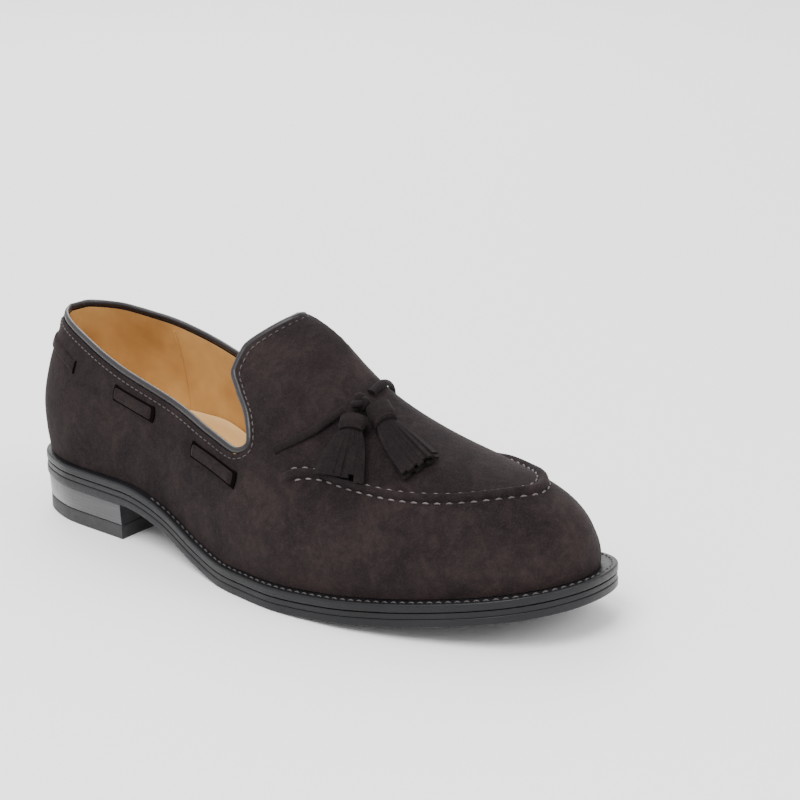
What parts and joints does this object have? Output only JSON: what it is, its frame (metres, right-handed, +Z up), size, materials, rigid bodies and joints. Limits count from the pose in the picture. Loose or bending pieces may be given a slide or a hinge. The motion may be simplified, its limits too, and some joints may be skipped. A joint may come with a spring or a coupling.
{
  "type": "tassel loafer",
  "caption": "Slip-on dress shoe for a right foot: hollow suede upper with a raised apron seam, knotted lace and tassels, on a welted layered sole with a low heel.",
  "frame": {"origin": "middle of the whole shoe's outline, on the floor", "axes": "+X to the toe, +Y to the inner (medial) side, +Z up"},
  "size_m": [0.3016, 0.107, 0.1085],
  "materials": {
    "suede": "napped, matte",
    "lace_suede": "napped, matte",
    "binding_leather": "smooth, satin",
    "sole_leather": "edge-dyed, polished",
    "lift_rubber": "matte",
    "sock_leather": "smooth"
  },
  "bodies": {
    "root": {"outsole": "sole_leather", "midsole": "sole_leather", "welt": "sole_leather", "heel_stack": "sole_leather", "top_lift": "lift_rubber", "insole": "sock_leather", "upper": "suede", "collar_binding": "binding_leather", "heel_tab": "suede", "lace_bar_front_lateral": "lace_suede", "lace_bar_back_lateral": "lace_suede", "lace_bar_front_medial": "lace_suede", "lace_bar_back_medial": "lace_suede", "lace_bar_heel": "lace_suede", "vamp_lace_lateral": "lace_suede", "vamp_lace_medial": "lace_suede", "lace_knot": "lace_suede", "tassel_lateral": "lace_suede", "tassel_medial": "lace_suede"}
  },
  "joints": []
}
